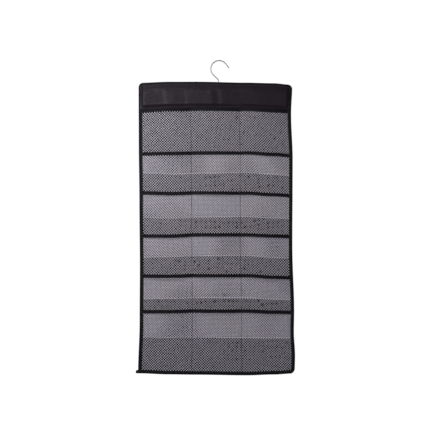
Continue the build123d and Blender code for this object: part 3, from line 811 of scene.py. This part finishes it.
def stitches(path, out, width):
    """Points and faces of dashes of thread along a path. out is 1 on a back face and -1 on a front."""
    steps = np.linalg.norm(np.diff(path, axis=0), axis=1)
    along = np.concatenate([[0], np.cumsum(steps)])
    starts = np.arange(STITCH_GAP, along[-1] - STITCH_LENGTH, STITCH_LENGTH + STITCH_GAP)
    starts = starts + STITCH_UNEVENNESS * STITCH_GAP * np.sin(12.9 * np.arange(len(starts)))

    def at(s):
        return np.stack([np.interp(s, along, path[:, k]) for k in range(3)], -1)

    begin, end = at(starts), at(starts + STITCH_LENGTH)
    direction = (end - begin) / np.linalg.norm(end - begin, axis=1, keepdims=True)
    outward = np.tile([0.0, float(out), 0.0], (len(starts), 1))
    side = np.cross(direction, outward)
    side /= np.linalg.norm(side, axis=1, keepdims=True)
    around = np.radians(np.arange(RING_POINTS) * 360 / RING_POINTS)
    rings = []
    for share, size, lift in STITCH_RINGS:
        centre = begin + (end - begin) * share + outward * lift * THREAD_HEIGHT
        sideways = side[:, None] * (size * width / 2 * np.cos(around))[:, None]
        upwards = outward[:, None] * (size * THREAD_HEIGHT / 2 * np.sin(around))[:, None]
        rings.append(centre[:, None] + sideways + upwards)
    return np.stack(rings, 1).reshape(-1, 3), stitch_faces(len(starts))


def stitch_faces(count):
    """Faces round and at the ends of so many stitches."""
    faces = []
    for dash in range(count):
        base = dash * RING_POINTS * len(STITCH_RINGS)
        rings = [[base + RING_POINTS * k + m for m in range(RING_POINTS)] for k in range(len(STITCH_RINGS))]
        for ring, after in zip(rings, rings[1:]):
            for m in range(RING_POINTS):
                n = (m + 1) % RING_POINTS
                faces.append([ring[m], ring[n], after[n], after[m]])
        faces += [rings[0], rings[-1]]
    return faces


def make_stitches(name, *runs, width=THREAD_WIDTH):
    """One piece of all the stitches along its runs, each a path and the way its thread stands out."""
    points, faces, count = [], [], 0
    for path, out in runs:
        more, their_faces = stitches(path, out, width)
        points.append(more)
        faces += [[v + count for v in face] for face in their_faces]
        count += len(more)
    make_piece(name, np.concatenate(points), faces, thread, "thread")


def across(low, high, z, y_of):
    """A level path from side to side, on a face."""
    xs = np.arange(low, high, LEVEL_STEP)
    zs = np.full_like(xs, z)
    return np.stack([xs, y_of(xs, zs), zs], -1)


def upright(x, y_of):
    """A path up a divider, from the bottom tape to the first row's top, on a face."""
    zs = np.arange(BOTTOM + TAPE_WIDTH, ROW_TOPS[0], UPRIGHT_STEP)
    xs = np.full_like(zs, x)
    return np.stack([xs, y_of(xs, zs), zs], -1)


def make_header_stitches():
    x, z = header_outline(HEADER_STITCH_INSET, LEVEL_STEP)[0].T
    ring = np.stack([x, header_face(x, z), z], -1)
    make_stitches("header_edge_stitching", (ring, -1))
    ends = (LEFT + HEADER_SEAM_LAP, RIGHT - HEADER_SEAM_LAP)
    front, back = (across(*ends, BACK_SEAM_ZS[0], face) for face in (header_face, backing_back))
    make_stitches("header_lower_seam", (front, -1), (back, 1))


def make_row_stitches():
    ends = (LEFT + TAPE_WIDTH, RIGHT - TAPE_WIDTH)
    drop = HEM_WIDTH - STITCH_INSET
    share = (drop - HEM_ROLL) / (HEM_WIDTH - HEM_ROLL)
    hem_out = CROSSING_HALF + CLEARANCE + HEM_THICKNESS + 4 * HEM_PUFF * share * (1 - share)

    def on_strip(row, level, out):
        return across(*ends, level, lambda x, z: strip_middle(row, x, z) - out), -1

    hems = [on_strip(row, top - drop, hem_out) for row, top in enumerate(ROW_TOPS)]
    make_stitches("hem_stitching", *hems)
    seam_zs = BACK_SEAM_ZS[1:]
    fronts = [on_strip(row, level, CROSSING_HALF) for row, level in enumerate(seam_zs)]
    backs = [(across(*ends, level, backing_back), 1) for level in seam_zs]
    make_stitches("pocket_bottom_seams", *fronts, *backs)


def make_divider_stitches():
    for side, x in zip(("left", "right"), SEAM_XS):
        runs = (upright(x, stack_front), -1), (upright(x, backing_back), 1)
        make_stitches(f"divider_seam_{side}", *runs, width=DIVIDER_THREAD_WIDTH)


def make_binding_stitches():
    tape_out = TAPE_THICKNESS + CLEARANCE
    zs = np.linspace(BOTTOM + TAPE_WIDTH, HEADER_FOOT - SIDE_SEAM_LAP, SIDE_SEAM_POINTS)
    runs = []
    for edge_x, towards in ((LEFT, 1), (RIGHT, -1)):
        xs = np.full_like(zs, edge_x + towards * (TAPE_WIDTH - STITCH_INSET))
        front = relaxed_front(zs, edge_x + towards * TAPE_WIDTH / 2) - tape_out - TAPE_PUFF / 2
        runs.append((np.stack([xs, front, zs], -1), -1))
        runs.append((np.stack([xs, backing_back(xs, zs) + tape_out, zs], -1), 1))
    ends, foot_z = (LEFT + FOOT_SEAM_LAP, RIGHT - TAPE_WIDTH), BOTTOM + TAPE_WIDTH - STITCH_INSET
    for face, out in ((bottom_front, -1), (bottom_back, 1)):
        runs.append((across(*ends, foot_z, lambda x, z: face(x, z) + out * tape_out), out))
    make_stitches("binding_stitching", *runs)


make_backing()
make_header()
make_header_binding()
make_side_binding("side_binding_left", LEFT, 1)
make_side_binding("side_binding_right", RIGHT, -1)
make_bottom_binding()
for row in range(len(ROWS)):
    make_mesh(row)
    make_hem(row)
make_header_stitches()
make_row_stitches()
make_divider_stitches()
make_binding_stitches()

# ---------------------------------------------------------------- stage

CAMERA_DISTANCE, LENS, SENSOR_WIDTH = 4.213, 120.0, 36.0
VIEW_CENTRE = Vector((-0.0033, 0.0, -0.4548))
FLOOR_Z, BACKDROP_Y, STAGE_SIZE = -1.9, 4.5, 14
BACKDROP_GLOW = 1.02
WORLD_COLOUR = (0.182, 0.188, 0.228, 1)
KEY_PLACE, KEY_TARGET = Vector((-0.6, -0.82, -0.05)), Vector((0, 0, -0.35))
KEY_SIZE, KEY_POWER = 0.4, 10.5


def add_plane(name, location, rotation, material):
    bpy.ops.mesh.primitive_plane_add(size=STAGE_SIZE, location=location, rotation=rotation)
    plane = bpy.context.object
    plane.name = name
    plane.data.materials.append(material)


def glowing_white():
    material = bpy.data.materials.new("backdrop_white")
    material.use_nodes = True
    tree = material.node_tree
    tree.nodes.clear()
    glow = tree.nodes.new("ShaderNodeEmission")
    glow.inputs["Color"].default_value = (1, 1, 1, 1)
    glow.inputs["Strength"].default_value = BACKDROP_GLOW
    output = tree.nodes.new("ShaderNodeOutputMaterial")
    tree.links.new(glow.outputs[0], output.inputs["Surface"])
    return material


def add_world():
    world = bpy.data.worlds.new("studio")
    bpy.context.scene.world = world
    world.use_nodes = True
    world.node_tree.nodes["Background"].inputs["Color"].default_value = WORLD_COLOUR


def add_key_light():
    """A soft light from the upper left, close to the panel, so that the light falls off across it."""
    light = bpy.data.lights.new("key", "AREA")
    light.shape = "SQUARE"
    light.size = KEY_SIZE
    light.energy = KEY_POWER
    holder = bpy.data.objects.new("key", light)
    bpy.context.scene.collection.objects.link(holder)
    holder.location = KEY_PLACE
    holder.rotation_euler = (KEY_TARGET - KEY_PLACE).to_track_quat("-Z", "Y").to_euler()


def add_camera():
    """Straight in front, level with the middle of the object."""
    camera = bpy.data.objects.new("camera", bpy.data.cameras.new("camera"))
    bpy.context.scene.collection.objects.link(camera)
    camera.data.lens = LENS
    camera.data.sensor_width = SENSOR_WIDTH
    camera.data.clip_end = 50
    camera.location = VIEW_CENTRE + Vector((0, -CAMERA_DISTANCE, 0))
    camera.rotation_euler = (math.pi / 2, 0, 0)
    bpy.context.scene.camera = camera


add_plane("floor", (0, 0, FLOOR_Z), (0, 0, 0), new_material("pale_floor", (0.8, 0.8, 0.8), 0.8, 0.2))
add_plane("backdrop", (0, BACKDROP_Y, 0), (math.pi / 2, 0, 0), glowing_white())
add_world()
add_key_light()
add_camera()
bpy.context.scene.view_settings.view_transform = "Standard"
